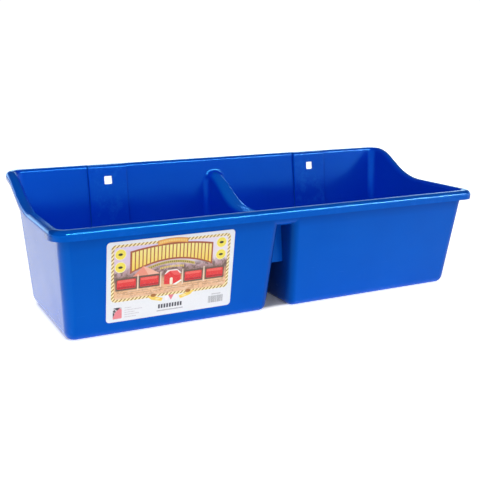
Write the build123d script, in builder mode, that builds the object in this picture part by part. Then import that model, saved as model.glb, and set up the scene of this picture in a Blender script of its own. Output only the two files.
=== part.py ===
from build123d import *
import os
from math import cos, radians, sin

# Two-compartment feed trough, moulded in one piece, with a printed label on its front.
# +X runs along the trough, +Y towards the back wall, +Z up. The origin is under the
# middle of the rim, on the surface that the trough stands on. All sizes in millimetres.

# ---------------------------------------------------------------- driving dimensions
rim_length = 648.0
rim_depth = 267.0
back_height = 189.5
front_height = 150.3
wall = 3.0

# outer faces of the tubs: where they stand, and how far each leans per mm of height
end_foot = 300.8
end_lean = 0.0665
front_foot = -96.7
front_lean = -0.166
back_foot = 98.0
back_lean = 0.117
gap_foot = 17.0
gap_lean = -0.060
end_corner = 14.0
gap_corner = 12.0
foot_round = 12.0

# rim: a flange with a down-turned skirt
rim_corner = 21.0
skirt = 12.8
skirt_lean = 0.05
outer_round = 7.0
lip_round = 5.0

# side view of the rim: level at the back, a dip, then level to the front
shoulder = 114.5
crest_radius = 73.0
dip_angle = 29.0
dip_radius = 128.0

# divider ridge between the compartments, hollow underneath
ridge_drop = 23.4
ridge_shift = 4.5
ridge_round = 8.0

# web across the gap between the tubs
web_front = -86.0
web_foot = 66.0

# bolt pads on the back wall, each with a channel behind it and a square hole
pad_centre = 175.8
pad_width = 60.0
pad_step = 4.5
pad_round = 2.0
pad_root = 0.5
channel_width = pad_width - 2 * wall
hole = 12.0
hole_round = 1.2
hole_height = 167.0

# printed label on the left tub
label_width = 174.0
label_height = 110.0
label_round = 5.0
label_thickness = 0.3
label_centre = -164.6
label_foot = 18.5

reach = rim_length
pad_middle = back_foot + back_lean * hole_height - pad_step
above = back_height + 12


# ---------------------------------------------------------------- leaning faces, by height
def end_face(z):
    return end_foot + end_lean * z


def gap_face(z):
    return gap_foot + gap_lean * z


def front_face(z):
    return front_foot + front_lean * z


def back_face(z):
    return back_foot + back_lean * z


def rim_end(z):
    return rim_length / 2 + skirt_lean * (z - back_height)


def rim_front(z):
    return -rim_depth / 2 - skirt_lean * (z - front_height)


def rim_back(z):
    return rim_depth / 2 + skirt_lean * (z - back_height)


def moved(face, by):
    """The same leaning face, moved along its axis."""
    return lambda z: face(z) + by


def mirrored(face):
    """The matching face at the other end of the trough."""
    return lambda z: -face(z)


def across(place):
    """An upright face at a fixed place."""
    return lambda z: place


# ---------------------------------------------------------------- shared shapes
def leaning_block(left, right, front, back, low, high):
    """Solid between four leaning faces, from one height to another."""
    with BuildPart(mode=Mode.PRIVATE) as block:
        with BuildSketch(Plane.XZ):
            ends = [(left(low), low), (right(low), low), (right(high), high), (left(high), high)]
            Polygon(*ends, align=None)
        extrude(amount=reach, both=True)
        with BuildSketch(Plane.YZ):
            sides = [(front(low), low), (back(low), low), (back(high), high), (front(high), high)]
            Polygon(*sides, align=None)
        extrude(amount=reach, both=True, mode=Mode.INTERSECT)
    return block.part


def side_curve(drop, shift):
    """Side view of the rim, lowered by drop and moved back by shift, drawn from the back to the front."""
    fall = (crest_radius + dip_radius) * (1 - cos(radians(dip_angle)))
    straight = (back_height - front_height - fall) / sin(radians(dip_angle))
    top = Line((reach / 2, back_height - drop), (shoulder + shift, back_height - drop))
    crest = JernArc(top @ 1, (-1, 0), crest_radius, dip_angle)
    slope = Line(crest @ 1, (crest @ 1) + (crest % 1) * straight)
    dip = JernArc(slope @ 1, slope % 1, dip_radius, -dip_angle)
    last = Line(dip @ 1, (-reach / 2, front_height - drop))
    return top @ 0, last @ 1


def below_curve(drop, shift=0.0):
    """Everything under the side curve."""
    with BuildPart(mode=Mode.PRIVATE) as under:
        with BuildSketch(Plane.YZ):
            with BuildLine():
                start, end = side_curve(drop, shift)
                Polyline(end, (-reach / 2, -back_height), (reach / 2, -back_height), start)
            make_face()
        extrude(amount=reach, both=True)
    return under.part


def uprights(solid):
    return solid.edges().filter_by(lambda e: abs((e % 0.5).Z) > 0.9)


def web_end(z):
    return gap_face(z) + wall / 2


def pad_face(z):
    return back_face(z) - wall - pad_step


def channel_face(z):
    return back_face(z) - pad_step


def outline_of_top(solid):
    """Edges around the upward faces of a solid, without the seams between those faces."""
    edges = [e for face in solid.faces().filter_by(lambda f: f.normal_at().Z > 0.6) for e in face.edges()]
    return ShapeList(e for e in edges if sum((e.center() - o.center()).length < 0.01 for o in edges) == 1)


def is_back_ceiling(edge):
    """Is this the edge where the back wall ends over the gap between the tubs?"""
    at = edge.center()
    return at.Z < back_height - ridge_drop and abs(back_face(at.Z) - at.Y) < 0.1


def on_lip(edge):
    """Is this edge where the rim turns down into the compartments?"""
    at = edge.center()
    past_ends = rim_end(at.Z) - abs(at.X)
    past_sides = min(rim_back(at.Z) - at.Y, at.Y - rim_front(at.Z))
    return at.Z > front_height - 1 and min(past_ends, past_sides) > 12


def meets_ridge(edge):
    """Is this edge where the divider ridge meets the front or the back wall?"""
    at = edge.center()
    past_walls = min(abs(front_face(at.Z) + wall - at.Y), abs(back_face(at.Z) - wall - at.Y))
    return abs(at.X) < gap_foot + wall and at.Z < back_height and past_walls < 0.5


# ---------------------------------------------------------------- outside of the tubs
with BuildPart() as right_tub:
    add(leaning_block(gap_face, end_face, front_face, back_face, 0, back_height))
    fillet(uprights(right_tub.part).group_by(Axis.X)[-1], end_corner)
    fillet(uprights(right_tub.part).filter_by(lambda e: e.center().X < end_foot / 2), gap_corner)
    fillet(right_tub.edges().group_by(Axis.Z)[0], foot_round)

with BuildPart() as bridge:
    bridge_end = gap_foot + gap_corner
    add(leaning_block(across(-bridge_end), across(bridge_end), front_face, back_face, 0, back_height))
    add(below_curve(ridge_drop + wall, ridge_shift), mode=Mode.SUBTRACT)
    ceiling = bridge.edges().filter_by(Axis.X).filter_by(lambda e: e.center().Z < back_height - ridge_drop)
    fillet(ceiling.sort_by(Axis.Y)[0], gap_corner)
    fillet(bridge.edges().filter_by(Axis.X).filter_by(is_back_ceiling), gap_corner)

# ---------------------------------------------------------------- rim and its skirt
with BuildPart() as under_rim:
    add(
        leaning_block(
            mirrored(moved(rim_end, -wall)), moved(rim_end, -wall),
            moved(rim_front, wall), moved(rim_back, -wall), 0, above
        )
    )
    fillet(uprights(under_rim.part), rim_corner - wall)
    add(below_curve(wall), mode=Mode.INTERSECT)
    fillet(outline_of_top(under_rim.part), outer_round - wall)

with BuildPart() as rim:
    add(leaning_block(mirrored(rim_end), rim_end, rim_front, rim_back, 0, above))
    fillet(uprights(rim.part), rim_corner)
    add(below_curve(0), mode=Mode.INTERSECT)
    fillet(outline_of_top(rim.part), outer_round)
    add(below_curve(skirt), mode=Mode.SUBTRACT)
    add(under_rim.part, mode=Mode.SUBTRACT)

# ---------------------------------------------------------------- space inside both compartments
with BuildPart() as ridge:
    add(
        leaning_block(
            mirrored(moved(gap_face, wall)), moved(gap_face, wall),
            lambda z: -reach, lambda z: reach, -above, above
        )
    )
    add(below_curve(ridge_drop, ridge_shift), mode=Mode.INTERSECT)
    fillet(outline_of_top(ridge.part).filter_by(lambda e: abs(e.center().X) > 1), ridge_round)

with BuildPart() as hollow:
    add(
        leaning_block(
            mirrored(moved(end_face, -wall)), moved(end_face, -wall),
            moved(front_face, wall), moved(back_face, -wall), wall, above
        )
    )
    fillet(uprights(hollow.part), end_corner - wall)
    add(ridge.part, mode=Mode.SUBTRACT)
    fillet(hollow.edges().filter_by(meets_ridge), gap_corner - wall)
    fillet(hollow.edges().group_by(Axis.Z)[0], foot_round - wall)

# ---------------------------------------------------------------- bolt pads and their channels
with BuildPart() as pads:
    with BuildSketch(Plane.YZ.offset(pad_centre - pad_width / 2)) as profile:
        Polygon(
            (pad_face(wall), wall), (pad_face(back_height), back_height),
            (back_face(back_height), back_height), (back_face(wall), pad_root),
            (pad_face(0) - foot_round, pad_root), (pad_face(0) - foot_round, wall),
            align=None
        )
        fillet(profile.vertices().sort_by_distance((pad_face(wall), wall, 0))[0], foot_round - wall)
        fillet(profile.vertices().sort_by_distance((pad_face(back_height), back_height, 0))[0], lip_round)
    extrude(amount=pad_width)
    borders = pads.faces().filter_by(Axis.X).edges().filter_by(lambda e: e.center().Z > wall - 0.1)
    fillet(borders.filter_by(lambda e: e.center().Y < back_face(e.center().Z) - wall), pad_round)
    add(right_tub.part, mode=Mode.INTERSECT)
    mirror(about=Plane.YZ)

with BuildSketch() as behind_pad:
    Polygon(
        (channel_face(0), 0), (channel_face(back_height), back_height),
        (channel_face(0) - foot_round, back_height), (channel_face(0) - foot_round, 0), align=None
    )
    fillet(behind_pad.vertices().sort_by_distance((channel_face(0), 0, 0))[0], foot_round - 0.01)

with BuildPart() as channels:
    with BuildSketch(Plane.YZ.offset(pad_centre - channel_width / 2)):
        with Locations((channel_face(0) - foot_round, -wall)):
            Rectangle(back_face(above) - channel_face(0) + foot_round, back_height, align=Align.MIN)
        add(behind_pad.sketch, mode=Mode.SUBTRACT)
    extrude(amount=channel_width)
    mirror(about=Plane.YZ)

# ---------------------------------------------------------------- web across the gap
with BuildPart() as web:
    sheet = across(web_front), across(web_front + wall)
    add(leaning_block(mirrored(web_end), web_end, *sheet, web_foot, back_height))
    add(below_curve(ridge_drop + wall / 2, ridge_shift), mode=Mode.INTERSECT)

# ---------------------------------------------------------------- the moulding
with BuildPart() as tub:
    add(right_tub.part)
    mirror(about=Plane.YZ)
    add(bridge.part)
    add(below_curve(0), mode=Mode.INTERSECT)
    add(rim.part)
    add(hollow.part, mode=Mode.SUBTRACT)
    fillet(outline_of_top(tub.part).filter_by(on_lip), lip_round)
    add(pads.part)
    add(channels.part, mode=Mode.SUBTRACT)
    with BuildSketch(Plane.XZ.offset(-pad_middle)):
        with Locations((-pad_centre, hole_height), (pad_centre, hole_height)):
            RectangleRounded(hole, hole, hole_round)
    extrude(amount=3 * wall, both=True, mode=Mode.SUBTRACT)
    add(web.part)


# ---------------------------------------------------------------- printed label
label_middle = label_foot + label_height / 2
with BuildPart() as label:
    face_of_label = Plane(
        origin=(label_centre, front_face(label_middle), label_middle),
        x_dir=(1, 0, 0),
        z_dir=(0, -1, front_lean)
    )
    with BuildSketch(face_of_label):
        RectangleRounded(label_width, label_height, label_round)
    extrude(amount=label_thickness)

# ---------------------------------------------------------------- parts
os.makedirs("parts", exist_ok=True)
tub.part.label = "tub"
export_step(tub.part, "parts/tub.step")
label.part.label = "label"
export_step(label.part, "parts/label.step")
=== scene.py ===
import bpy
import math
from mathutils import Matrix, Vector


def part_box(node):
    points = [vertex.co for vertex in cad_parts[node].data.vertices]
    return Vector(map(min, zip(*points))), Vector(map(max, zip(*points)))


# Two-compartment feed trough: one blue moulding with a printed label, on a white studio floor.
# Metres in the CAD frame: +X runs along the trough, +Y towards its back wall, +Z up.

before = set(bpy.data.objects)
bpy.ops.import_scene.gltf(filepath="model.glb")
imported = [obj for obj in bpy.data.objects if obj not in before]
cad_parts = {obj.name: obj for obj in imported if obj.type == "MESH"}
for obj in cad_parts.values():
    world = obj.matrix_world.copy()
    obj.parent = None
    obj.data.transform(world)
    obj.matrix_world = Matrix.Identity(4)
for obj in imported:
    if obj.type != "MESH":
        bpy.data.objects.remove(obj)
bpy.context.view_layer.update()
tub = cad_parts["tub"]
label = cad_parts["label"]
label_lo, label_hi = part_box("label")

# places on the moulding that its material follows: the middle of a compartment, and where the outer
# walls beside the gap and at the front stand at the floor, with how far each leans per metre of height
compartment_middle = 0.158
compartment_height = 0.10
gap_foot = 0.017
gap_lean = 0.06
front_foot = 0.0967
front_lean = 0.166
gap_top = 0.122

# the print is drawn in millimetres on a sheet of this height
label_height = 110.0


# ---------------------------------------------------------------- node helpers
class Nodes:
    """Adds nodes to one tree. Its masks and values are sockets or plain numbers."""

    def __init__(self, tree):
        self.tree = tree
        self.tree.nodes.clear()

    def new(self, kind):
        return self.tree.nodes.new("ShaderNode" + kind)

    def put(self, socket, value):
        if isinstance(value, bpy.types.NodeSocket):
            self.tree.links.new(value, socket)
        else:
            socket.default_value = value

    def axes(self, vector):
        """The x, y and z of a vector."""
        made = self.new("SeparateXYZ")
        self.put(made.inputs[0], vector)
        return made.outputs

    def math(self, operation, *values):
        made = self.new("Math")
        made.operation = operation
        for socket, value in zip(made.inputs, values):
            self.put(socket, value)
        return made.outputs[0]

    def both(self, *masks):
        """Where all the masks hold: their product."""
        result = masks[0]
        for mask in masks[1:]:
            result = self.math("MULTIPLY", result, mask)
        return result

    def length(self, x, y):
        """How far a point at x, y is from the origin."""
        squares = self.math("ADD", self.math("MULTIPLY", x, x), self.math("MULTIPLY", y, y))
        return self.math("SQRT", squares)

    def span(self, value, low, high, out_low, out_high):
        """Goes from out_low to out_high while value goes from low to high, and stays level past them."""
        made = self.new("MapRange")
        for socket, number in zip(made.inputs[1:5], (low, high, out_low, out_high)):
            socket.default_value = number
        self.put(made.inputs[0], value)
        return made.outputs[0]

    def mix(self, mask, first, second):
        made = self.new("Mix")
        made.data_type = "RGBA"
        self.put(made.inputs[0], mask)
        for socket, colour in ((made.inputs[6], first), (made.inputs[7], second)):
            self.put(socket, colour if isinstance(colour, bpy.types.NodeSocket) else (*colour, 1.0))
        return made.outputs[2]

    def ramp(self, value, stops):
        made = self.new("ValToRGB")
        elements = made.color_ramp.elements
        while len(elements) < len(stops):
            elements.new(0.5)
        for element, (position, colour) in zip(elements, stops):
            element.position = position
            element.color = (*colour, 1.0)
        self.put(made.inputs[0], value)
        return made.outputs[0]

    def blend(self, mask, first, second):
        """Mixes two shaders."""
        made = self.new("MixShader")
        for socket, value in zip(made.inputs, (mask, first, second)):
            self.put(socket, value)
        return made.outputs[0]


class Material(Nodes):
    """One material around a principled shader, patterned by object position."""

    def __init__(self, name):
        self.material = bpy.data.materials.new(name)
        self.material.use_nodes = True
        super().__init__(self.material.node_tree)
        self.surface = self.new("OutputMaterial").inputs["Surface"]
        self.shader = self.new("BsdfPrincipled")
        self.put(self.surface, self.shader.outputs["BSDF"])
        self.place = self.new("TexCoord").outputs["Object"]

    def noise(self, scale, detail=3.0, rough=0.5, stretch=(1, 1, 1)):
        mapping = self.new("Mapping")
        mapping.inputs["Scale"].default_value = stretch
        self.put(mapping.inputs["Vector"], self.place)
        made = self.new("TexNoise")
        made.inputs["Scale"].default_value = scale
        made.inputs["Detail"].default_value = detail
        made.inputs["Roughness"].default_value = rough
        self.put(made.inputs["Vector"], mapping.outputs["Vector"])
        return made.outputs["Fac"]

    def bump(self, height, strength, distance, normal=None):
        made = self.new("Bump")
        made.inputs["Strength"].default_value = strength
        made.inputs["Distance"].default_value = distance
        self.put(made.inputs["Height"], height)
        if normal is not None:
            self.put(made.inputs["Normal"], normal)
        return made.outputs[0]


# ---------------------------------------------------------------- blue moulded plastic
# dark blue painted as shade in the gap between the tubs and under the rim skirt
painted_shade = (0.0, 0.006, 0.08)


def inside_compartments(m, x, y, z, facing):
    """1 on faces that look towards the middle of their compartment, 0 on the outside of the moulding."""
    from_middle = m.math("SUBTRACT", m.math("ABSOLUTE", x), compartment_middle)
    outward = m.both(facing[0], m.math("SIGN", x), from_middle)
    outward = m.math("MULTIPLY_ADD", facing[1], y, outward)
    outward = m.math("MULTIPLY_ADD", facing[2], m.math("SUBTRACT", z, compartment_height), outward)
    return m.span(outward, -0.030, 0.0, 1.0, 0.0)


def lit_ridge_top(m, from_gap, y, z, facing):
    """Painted light: the top of the divider, made paler where it faces up."""
    return m.both(
        m.span(from_gap, 0.0008, 0.0036, 1.0, 0.0),
        m.span(z, gap_top, gap_top + 0.005, 0.0, 1.0),
        m.span(m.math("ABSOLUTE", y), 0.100, 0.112, 1.0, 0.0),
        m.span(facing[2], 0.0, 0.3, 0.0, 1.0),
    )


def gap_shade(m, from_gap, z, outside):
    """Painted shade on the walls inside the gap between the tubs."""
    return m.both(
        m.span(from_gap, -0.0015, -0.0005, 0.0, 1.0),
        m.span(from_gap, 0.0, 0.012, 1.0, 0.0),
        outside,
        m.span(z, gap_top, gap_top + 0.008, 0.66, 0.0),
    )


def skirt_shade(m, y, z, outside):
    """Painted shade on the top of the front wall, under the skirt of the rim."""
    from_front = m.math("ADD", y, m.math("MULTIPLY_ADD", z, front_lean, front_foot))
    return m.both(
        m.span(from_front, -0.004, -0.001, 0.0, 1.0),
        m.span(z, 0.120, 0.137, 0.0, 0.34),
        m.span(y, -0.10, -0.09, 1.0, 0.0),
        outside,
    )


def blue_plastic():
    m = Material("blue_plastic")
    # cloudy pigment, flow marks from the moulding, and fine specks
    cloud = m.noise(7.0, 4.0, 0.55)
    speck = m.noise(420.0, 2.0, 0.6)
    flow = m.noise(30.0, 3.0, 0.5, (0.25, 0.25, 1.0))
    colour = m.ramp(cloud, [(0.3, (0.0, 0.080, 0.50)), (0.7, (0.0, 0.094, 0.55))])
    colour = m.mix(m.span(flow, 0.55, 0.75, 0.0, 0.25), colour, (0.0, 0.110, 0.60))
    colour = m.mix(m.span(speck, 0.62, 0.8, 0.0, 0.10), colour, (0.01, 0.125, 0.60))

    # painted shade: faces inside the compartments get a deeper, more saturated blue than the outside, for
    # the dimmer light that reaches in
    x, y, z = m.axes(m.place)
    facing = m.axes(m.new("NewGeometry").outputs["Normal"])
    inside = inside_compartments(m, x, y, z, facing)
    outside = m.math("SUBTRACT", 1.0, inside)
    shaded_inside = m.ramp(cloud, [(0.3, (0.0, 0.046, 0.64)), (0.7, (0.0, 0.055, 0.70))])
    colour = m.mix(inside, colour, shaded_inside)

    # painted light on the top of the divider, and painted shade in the gap and under the rim skirt
    from_gap = m.math("ADD", m.math("ABSOLUTE", x), m.math("MULTIPLY_ADD", z, gap_lean, -gap_foot))
    colour = m.mix(lit_ridge_top(m, from_gap, y, z, facing), colour, (0.0, 0.125, 0.70))
    colour = m.mix(gap_shade(m, from_gap, z, outside), colour, painted_shade)
    colour = m.mix(skirt_shade(m, y, z, outside), colour, painted_shade)

    # paler colour and more roughness on sharp convex edges, in random patches
    bend = m.new("NewGeometry").outputs["Pointiness"]
    patches = m.span(m.noise(60.0, 5.0, 0.7), 0.5, 0.7, 0.0, 0.3)
    pale_edges = m.both(m.span(bend, 0.52, 0.60, 0.0, 1.0), patches)
    m.put(m.shader.inputs["Base Color"], m.mix(pale_edges, colour, (0.02, 0.18, 0.88)))

    scratch = m.noise(55.0, 6.0, 0.75, (0.12, 1.0, 6.0))
    gloss = m.span(m.noise(16.0, 4.0, 0.6), 0.3, 0.7, 0.15, 0.24)
    gloss = m.math("ADD", gloss, m.span(scratch, 0.58, 0.75, 0.0, 0.12))
    m.put(m.shader.inputs["Roughness"], m.math("ADD", gloss, m.math("MULTIPLY", pale_edges, 0.25)))
    m.shader.inputs["IOR"].default_value = 1.5
    m.shader.inputs["Specular Tint"].default_value = (0.05, 0.50, 1.0, 1.0)
    wave = m.bump(m.noise(11.0, 2.0, 0.4), 0.25, 0.0012)
    fine = m.bump(m.noise(900.0, 2.0, 0.5), 0.12, 0.00006, wave)
    m.put(m.shader.inputs["Normal"], m.bump(scratch, 0.08, 0.00005, fine))
    return m.material


tub.data.materials.clear()
tub.data.materials.append(blue_plastic())


# ---------------------------------------------------------------- printed label
class Print(Material):
    """A printed picture. u runs from its left edge and v down from its top edge, in millimetres."""

    soft_edge = 0.25

    def __init__(self, name, lo, hi, height):
        super().__init__(name)
        at = self.axes(self.place)
        self.u = self.math("MULTIPLY", self.math("SUBTRACT", at[0], lo.x), 1000.0)
        self.v = self.math("MULTIPLY", self.math("SUBTRACT", hi.z, at[2]), height / (hi.z - lo.z))
        self.colour = None

    def paint(self, mask, colour, ink=1.0):
        if ink != 1.0:
            mask = self.math("MULTIPLY", mask, ink)
        self.colour = self.mix(mask, self.colour, colour)

    def edge(self, distance):
        """1 inside a shape and 0 outside, from the distance to its outline."""
        return self.span(distance, -self.soft_edge / 2, self.soft_edge / 2, 1.0, 0.0)

    def box(self, left, top, right, bottom, radius=0.0):
        across = self.math("ABSOLUTE", self.math("SUBTRACT", self.u, (left + right) / 2))
        along = self.math("ABSOLUTE", self.math("SUBTRACT", self.v, (top + bottom) / 2))
        x = self.math("SUBTRACT", across, (right - left) / 2 - radius)
        y = self.math("SUBTRACT", along, (bottom - top) / 2 - radius)
        if radius == 0:
            return self.edge(self.math("MAXIMUM", x, y))
        corner = self.length(self.math("MAXIMUM", x, 0.0), self.math("MAXIMUM", y, 0.0))
        inner = self.math("MINIMUM", self.math("MAXIMUM", x, y), 0.0)
        return self.edge(self.math("SUBTRACT", self.math("ADD", corner, inner), radius))

    def oval(self, x, y, wide, high=None):
        across = self.math("DIVIDE", self.math("SUBTRACT", self.u, x), wide)
        along = self.math("DIVIDE", self.math("SUBTRACT", self.v, y), high or wide)
        past = self.math("SUBTRACT", self.length(across, along), 1.0)
        return self.edge(self.math("MULTIPLY", past, wide))

    def bow(self, middle, half, top, top_sag, bottom, bottom_sag, grow=0.0):
        """Arched band. Its edges pass top and bottom in the middle, and fall by their sags at the ends."""
        from_middle = self.math("SUBTRACT", self.u, middle)
        across = self.math("DIVIDE", from_middle, half)
        square = self.math("MULTIPLY", across, across)
        over = self.math("SUBTRACT", self.math("MULTIPLY_ADD", square, top_sag, top - grow), self.v)
        under = self.math("SUBTRACT", self.v, self.math("MULTIPLY_ADD", square, bottom_sag, bottom + grow))
        ends = self.math("SUBTRACT", self.math("ABSOLUTE", from_middle), half + grow)
        return self.edge(self.math("MAXIMUM", self.math("MAXIMUM", over, under), ends))

    def shape(self, *corners):
        """Convex polygon, with its corners listed clockwise as seen."""
        worst = None
        for (x0, y0), (x1, y1) in zip(corners, corners[1:] + corners[:1]):
            length = math.hypot(x1 - x0, y1 - y0)
            nx = (y1 - y0) / length
            ny = (x0 - x1) / length
            side = self.math("MULTIPLY_ADD", self.u, nx, -(nx * x0 + ny * y0))
            side = self.math("MULTIPLY_ADD", self.v, ny, side)
            worst = side if worst is None else self.math("MAXIMUM", worst, side)
        return self.edge(worst)

    def stripes(self, pitch, share, start=0.0, slant=0.0):
        """Bars across u: 1 on a bar and 0 between bars."""
        along = self.math("MULTIPLY_ADD", self.v, slant, self.math("SUBTRACT", self.u, start))
        cycle = self.math("FRACT", self.math("DIVIDE", along, pitch))
        off = self.math("ABSOLUTE", self.math("SUBTRACT", cycle, 0.5))
        return self.edge(self.math("MULTIPLY", self.math("SUBTRACT", off, share / 2), pitch))


def rope_border(p):
    pitch = 5.2
    rope = p.box(6.0, 4.4, 168.2, 82.2, 6.0)
    p.paint(rope, (0.86, 0.58, 0.16))
    p.paint(p.both(rope, p.stripes(pitch, 0.50, 0.0, 1.0)), (0.98, 0.84, 0.46))
    p.paint(p.both(rope, p.stripes(pitch, 0.28, pitch / 2, 1.0)), (0.22, 0.09, 0.02), 0.9)


def scenery(p, picture, daub):
    """Lilac sky, a line of trees, and ground with furrows and grass."""
    height = p.math("ADD", p.v, p.span(daub, 0.3, 0.7, -3.5, 3.5))
    layers = [
        (0.06, (0.78, 0.66, 0.86)),
        (0.26, (0.74, 0.58, 0.70)),
        (0.40, (0.52, 0.33, 0.34)),
        (0.47, (0.26, 0.15, 0.12)),
        (0.53, (0.72, 0.40, 0.22)),
        (0.62, (0.86, 0.50, 0.26)),
        (0.74, (0.88, 0.56, 0.34)),
    ]
    p.paint(picture, p.ramp(p.math("DIVIDE", height, label_height), layers))
    to_right = p.span(p.u, 70.0, 165.0, 0.0, 0.75)
    p.paint(p.both(picture, to_right, p.span(height, 44.0, 36.0, 0.0, 1.0)), (0.92, 0.86, 0.88))

    furrow = p.span(p.noise(60.0, 4.0, 0.7, (1.0, 1.0, 5.0)), 0.5, 0.62, 0.0, 0.6)
    p.paint(p.both(picture, furrow, p.span(p.v, 60.0, 68.0, 0.0, 1.0)), (0.93, 0.70, 0.50))
    clumps = p.span(p.noise(150.0, 5.0, 0.7), 0.47, 0.55, 0.0, 0.8)
    under_sky = p.span(p.v, 36.0, 43.0, 0.0, 1.0)
    over_ground = p.span(p.v, 49.0, 52.0, 1.0, 0.0)
    p.paint(p.both(picture, clumps, under_sky, over_ground), (0.14, 0.08, 0.05))
    tufts = p.span(p.noise(260.0, 4.0, 0.7), 0.52, 0.62, 0.0, 0.7)
    p.paint(p.both(picture, tufts, p.span(p.v, 52.0, 58.0, 0.0, 1.0)), (0.55, 0.27, 0.13))
    for y in (69.6, 72.2):
        broken = p.span(p.noise(90.0), 0.4, 0.5, 0.0, 0.8)
        p.paint(p.both(picture, p.box(14.0, y, 160.0, y + 0.7), broken), (0.42, 0.20, 0.10))


def corner_discs(p):
    for x, y in ((17.8, 17.4), (17.8, 34.8), (155.2, 16.4), (155.2, 33.4)):
        p.paint(p.oval(x, y, 7.4), (0.96, 0.88, 0.55))
        p.paint(p.oval(x, y, 6.6), (0.95, 0.78, 0.08))
        p.paint(p.oval(x, y, 2.9, 1.7), (0.03, 0.025, 0.01))


def arched_slats(p):
    """A row of yellow slats on a red-brown ground."""
    middle = 86.8
    p.paint(p.bow(middle, 55.0, 10.6, 5.5, 30.5, 12.5, 1.6), (0.40, 0.10, 0.03))
    slats = p.both(p.bow(middle, 54.4, 11.4, 5.5, 29.7, 12.5), p.stripes(5.0, 0.70, 2.1))
    down = p.span(p.v, 10.0, 42.0, 0.0, 1.0)
    p.paint(slats, p.ramp(down, [(0.0, (0.98, 0.86, 0.30)), (1.0, (0.96, 0.66, 0.08))]))


def small_ribbons(p):
    """Plain ribbons above and below the slats."""
    middle = 87.0
    p.paint(p.bow(middle, 20.0, 3.0, 2.0, 8.6, 2.0, 0.6), (0.55, 0.20, 0.04))
    p.paint(p.bow(middle, 20.0, 3.0, 2.0, 8.6, 2.0), (0.93, 0.44, 0.08))
    p.paint(p.both(p.bow(middle, 18.5, 4.6, 2.0, 7.0, 2.0), p.stripes(2.3, 0.6)), (0.98, 0.72, 0.22))
    p.paint(p.bow(86.0, 32.5, 33.2, 6.0, 37.0, 6.0), (0.62, 0.48, 0.12))
    p.paint(p.both(p.bow(86.0, 31.5, 34.0, 6.0, 36.2, 6.0), p.stripes(2.6, 0.55)), (0.22, 0.17, 0.04))
    p.paint(p.both(p.bow(middle, 16.5, 40.2, 1.5, 43.0, 1.5), p.stripes(2.2, 0.65)), (0.85, 0.62, 0.14))


def stable_roof(p):
    p.paint(p.shape((34.0, 49.5), (48.0, 36.8), (56.0, 40.5), (70.5, 49.5)), (0.88, 0.30, 0.20))
    p.paint(p.shape((48.0, 36.8), (56.0, 40.5), (70.5, 49.5), (55.0, 49.5)), (0.93, 0.48, 0.34))


def red_troughs(p):
    """Four troughs on a fence, and the fence posts between them."""
    for left, right in ((11.6, 40.0), (42.2, 70.6), (103.2, 130.6), (133.6, 161.2)):
        p.paint(p.box(left, 49.8, right, 67.0, 0.8), (0.15, 0.09, 0.06))
        p.paint(p.box(left + 1.9, 52.2, right - 1.6, 64.8, 1.6), (0.82, 0.03, 0.03))
        p.paint(p.box(left + 3.0, 52.8, right - 3.2, 56.0, 1.2), (0.93, 0.13, 0.10))
        p.paint(p.box(left + 2.4, 61.8, right - 2.2, 64.2, 1.0), (0.52, 0.01, 0.02))
    for post in (41.1, 71.8, 102.0, 132.0):
        p.paint(p.box(post - 0.7, 47.4, post + 0.7, 69.0), (0.88, 0.72, 0.55))


def barn(p):
    p.paint(p.shape((77.0, 52.0), (81.0, 46.5), (94.0, 46.5), (100.5, 52.5)), (0.95, 0.80, 0.76))
    walls = p.shape(
        (76.5, 66.0), (76.5, 53.0), (84.5, 48.0), (94.5, 48.5), (99.5, 55.0), (99.5, 62.0), (90.0, 67.5)
    )
    p.paint(walls, (0.80, 0.03, 0.03))
    p.paint(p.shape((84.5, 48.0), (94.5, 48.5), (99.5, 55.0), (90.0, 54.5)), (0.90, 0.10, 0.09))
    p.paint(p.box(84.4, 57.5, 88.4, 67.4, 1.8), (0.96, 0.86, 0.66))
    p.paint(p.shape((88.0, 67.8), (100.0, 62.2), (101.5, 63.4), (93.0, 68.6)), (0.96, 0.93, 0.86))


def gold_ribbon(p):
    """Two swags under the picture, with a pennant between them."""
    gold = (0.95, 0.66, 0.10)
    middle = 87.0
    p.paint(p.shape((54.5, 80.4), (58.0, 79.8), (76.0, 85.0), (74.0, 89.4), (60.0, 85.6)), gold)
    p.paint(p.shape((98.0, 85.0), (116.0, 79.8), (119.5, 80.4), (114.0, 85.6), (100.0, 89.4)), gold)
    for x in (62.5, 110.5):
        p.paint(p.oval(x, 79.6, 3.8, 2.3), (0.42, 0.16, 0.03))
        p.paint(p.oval(x + (middle - x) * 0.24, 85.4, 3.4, 1.1), (0.99, 0.84, 0.36))
    p.paint(p.shape((83.0, 82.0), (91.0, 82.0), (87.2, 89.6)), (0.80, 0.20, 0.24))
    p.paint(p.oval(81.0, 85.6, 2.6, 3.4), (0.95, 0.92, 0.93))
    p.paint(p.oval(93.6, 85.6, 2.6, 3.4), (0.93, 0.86, 0.88))


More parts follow.
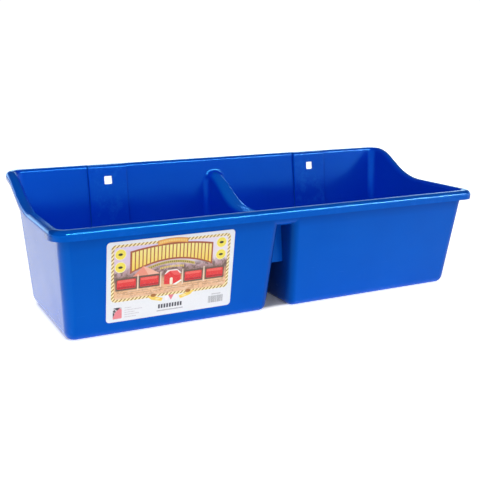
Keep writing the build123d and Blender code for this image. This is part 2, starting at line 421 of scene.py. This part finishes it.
def lower_strip(p, daub):
    """A plain badge, rules and bars on the white strip at the foot of the label."""
    badge = p.box(8.8, 90.0, 20.6, 105.6, 0.6)
    marbling = [(0.42, (0.03, 0.03, 0.04)), (0.5, (0.82, 0.80, 0.80)), (0.58, (0.05, 0.05, 0.06))]
    p.paint(badge, p.ramp(daub, marbling))
    flash = p.shape((8.0, 106.0), (12.0, 96.0), (18.0, 91.0), (21.0, 94.0), (21.0, 106.0))
    p.paint(p.both(badge, flash), (0.88, 0.24, 0.27))
    for y, right in ((91.2, 33.0), (94.4, 48.0), (97.6, 37.5), (100.6, 44.0), (104.0, 40.0)):
        rule = p.both(p.box(24.0, y, right, y + 0.9), p.stripes(1.9, 0.7))
        p.paint(rule, (0.42, 0.36, 0.40), 0.75)
    p.paint(p.both(p.box(69.0, 93.8, 103.0, 99.6, 0.4), p.stripes(3.8, 0.66, 0.6)), (0.05, 0.05, 0.07))
    p.paint(p.both(p.box(67.5, 102.2, 104.5, 103.8), p.stripes(1.7, 0.62)), (0.30, 0.28, 0.32))
    coarse = p.math("SINE", p.math("MULTIPLY", p.u, 4.9))
    fine = p.math("SINE", p.math("MULTIPLY_ADD", p.u, 7.7, 1.0))
    uneven = p.span(p.math("ADD", coarse, fine), 0.0, 0.4, 0.0, 1.0)
    p.paint(p.both(p.box(140.6, 92.6, 162.6, 102.6), uneven), (0.05, 0.05, 0.06))
    p.paint(p.both(p.box(145.0, 89.4, 159.0, 90.9), p.stripes(1.8, 0.6)), (0.35, 0.32, 0.35))


def printed_label():
    p = Print("label_print", label_lo, label_hi, label_height)
    grain = p.noise(900.0, 3.0, 0.6)
    daub = p.noise(130.0, 4.0, 0.65)
    p.colour = p.ramp(grain, [(0.3, (0.83, 0.84, 0.85)), (0.7, (0.88, 0.89, 0.90))])
    rope_border(p)
    scenery(p, p.box(9.6, 8.0, 164.6, 78.6, 4.0), daub)
    corner_discs(p)
    arched_slats(p)
    small_ribbons(p)
    stable_roof(p)
    red_troughs(p)
    barn(p)
    gold_ribbon(p)
    lower_strip(p, daub)

    # ink grain over the whole print, on slightly curled paper
    p.paint(p.span(grain, 0.5, 0.8, 0.0, 0.16), (0.97, 0.95, 0.93))
    p.put(p.shader.inputs["Base Color"], p.colour)
    p.put(p.shader.inputs["Roughness"], p.span(p.noise(70.0, 4.0, 0.6), 0.3, 0.7, 0.28, 0.42))
    p.shader.inputs["IOR"].default_value = 1.45
    curl = p.bump(p.noise(28.0, 2.0, 0.4), 0.2, 0.0006)
    p.put(p.shader.inputs["Normal"], p.bump(grain, 0.15, 0.00004, curl))
    return p.material


label.data.materials.clear()
label.data.materials.append(printed_label())


# ---------------------------------------------------------------- floor
def glowing_floor():
    """A white floor that lights the trough from below, and only faintly right under its feet."""
    m = Material("floor_white")
    feet_x = 0.292
    feet_y = 0.078
    x, y = m.axes(m.place)[:2]
    past_x = m.math("MAXIMUM", m.math("SUBTRACT", m.math("ABSOLUTE", x), feet_x), 0.0)
    past_y = m.math("MAXIMUM", m.math("SUBTRACT", m.math("ABSOLUTE", y), feet_y), 0.0)
    glow = m.span(m.length(past_x, past_y), 0.0, 0.010, 0.08, 1.0)
    glow = m.math("MULTIPLY", glow, m.span(x, -0.5, 0.6, 0.70, 0.90))
    white = m.ramp(m.noise(2.0, 2.0, 0.5), [(0.3, (0.80, 0.80, 0.82)), (0.7, (0.83, 0.83, 0.84))])
    m.put(m.shader.inputs["Base Color"], white)
    m.shader.inputs["Roughness"].default_value = 0.8
    m.shader.inputs["Specular IOR Level"].default_value = 0.2
    m.shader.inputs["Emission Color"].default_value = (1.0, 1.0, 1.0, 1.0)

    # reflections of the floor in the plastic are kept faint
    in_gloss = m.new("LightPath").outputs["Is Glossy Ray"]
    strength = m.math("MULTIPLY", glow, m.math("MULTIPLY_ADD", in_gloss, -0.75, 1.0))
    m.put(m.shader.inputs["Emission Strength"], strength)

    # from below the floor is clear, so that the underside of the trough can be looked at
    from_below = m.new("NewGeometry").outputs["Backfacing"]
    clear = m.new("BsdfTransparent").outputs[0]
    m.put(m.surface, m.blend(from_below, m.shader.outputs["BSDF"], clear))
    return m.material


floor_level = -0.0003
bpy.ops.mesh.primitive_plane_add(size=14, location=(0, 0, floor_level))
floor = bpy.context.object
floor.name = "floor"
floor.data.materials.append(glowing_floor())


# ---------------------------------------------------------------- studio light
def studio_world():
    """White to the camera, a soft dome from the right, and a bright horizon in reflections."""
    world = bpy.data.worlds.new("studio")
    world.use_nodes = True
    w = Nodes(world.node_tree)
    direction = w.axes(w.new("TexCoord").outputs["Generated"])
    to_right = direction[0]
    up = direction[2]

    backdrop = w.new("Background")
    backdrop.inputs["Color"].default_value = (1, 1, 1, 1)
    backdrop.inputs["Strength"].default_value = 1.05

    dome = w.new("Background")
    dome.inputs["Color"].default_value = (0.96, 0.98, 1.0, 1)
    low_right = w.math("MULTIPLY", to_right, w.math("SUBTRACT", 1.0, up))
    w.put(dome.inputs["Strength"], w.span(low_right, -1.0, 1.0, 0.08, 0.64))

    horizon = w.new("Background")
    w.put(horizon.inputs["Color"], w.ramp(up, [(0.12, (1.8, 2.9, 3.8)), (0.26, (0.03, 0.03, 0.04))]))

    rays = w.new("LightPath").outputs
    unseen = w.blend(rays["Is Glossy Ray"], dome.outputs[0], horizon.outputs[0])
    seen = w.blend(rays["Is Camera Ray"], unseen, backdrop.outputs[0])
    w.put(w.new("OutputWorld").inputs["Surface"], seen)
    return world


def softbox(name, place, target, width, height, radiance, only_mirrored=False):
    """A flat light. Its power comes from the brightness that its face should have."""
    data = bpy.data.lights.new(name, "AREA")
    data.shape = "RECTANGLE"
    data.size = width
    data.size_y = height
    data.energy = radiance * math.pi * width * height
    lamp = bpy.data.objects.new(name, data)
    bpy.context.collection.objects.link(lamp)
    lamp.location = place
    lamp.rotation_euler = (Vector(target) - Vector(place)).to_track_quat("-Z", "Y").to_euler()
    lamp.visible_camera = False
    lamp.visible_diffuse = not only_mirrored
    lamp.visible_glossy = only_mirrored


bpy.context.scene.view_settings.view_transform = "Standard"
bpy.context.scene.world = studio_world()
softbox("fill_box", (1.0, -1.7, 0.7), (0.1, 0, 0.1), 1.2, 0.8, 0.6)
softbox("left_box", (-0.9, -0.8, 1.6), (0, 0, 0.1), 0.9, 0.9, 4.5)
# the line of light along the rim, and the pale sheen on the left end wall
softbox("strip_light", (0.88, -1.45, 1.30), (0.88, -0.13, 0.15), 2.6, 0.22, 85.0, True)
softbox("left_sheet", (-0.93, 0.45, 0.001), (-0.93, 0.45, 1.0), 1.26, 1.6, 0.84, True)

# ---------------------------------------------------------------- camera, at the photograph's angle
azimuth = math.radians(-26.84)
elevation = math.radians(13.37)
back = Vector((
    math.sin(azimuth) * math.cos(elevation),
    -math.cos(azimuth) * math.cos(elevation),
    math.sin(elevation)
))
camera_data = bpy.data.cameras.new("camera")
camera_data.lens = 58.98
camera_data.sensor_width = 36
camera = bpy.data.objects.new("camera", camera_data)
bpy.context.collection.objects.link(camera)
camera.location = (-0.52557, -1.01657, 0.35156)
camera.rotation_euler = (-back).to_track_quat("-Z", "Y").to_euler()
bpy.context.scene.camera = camera
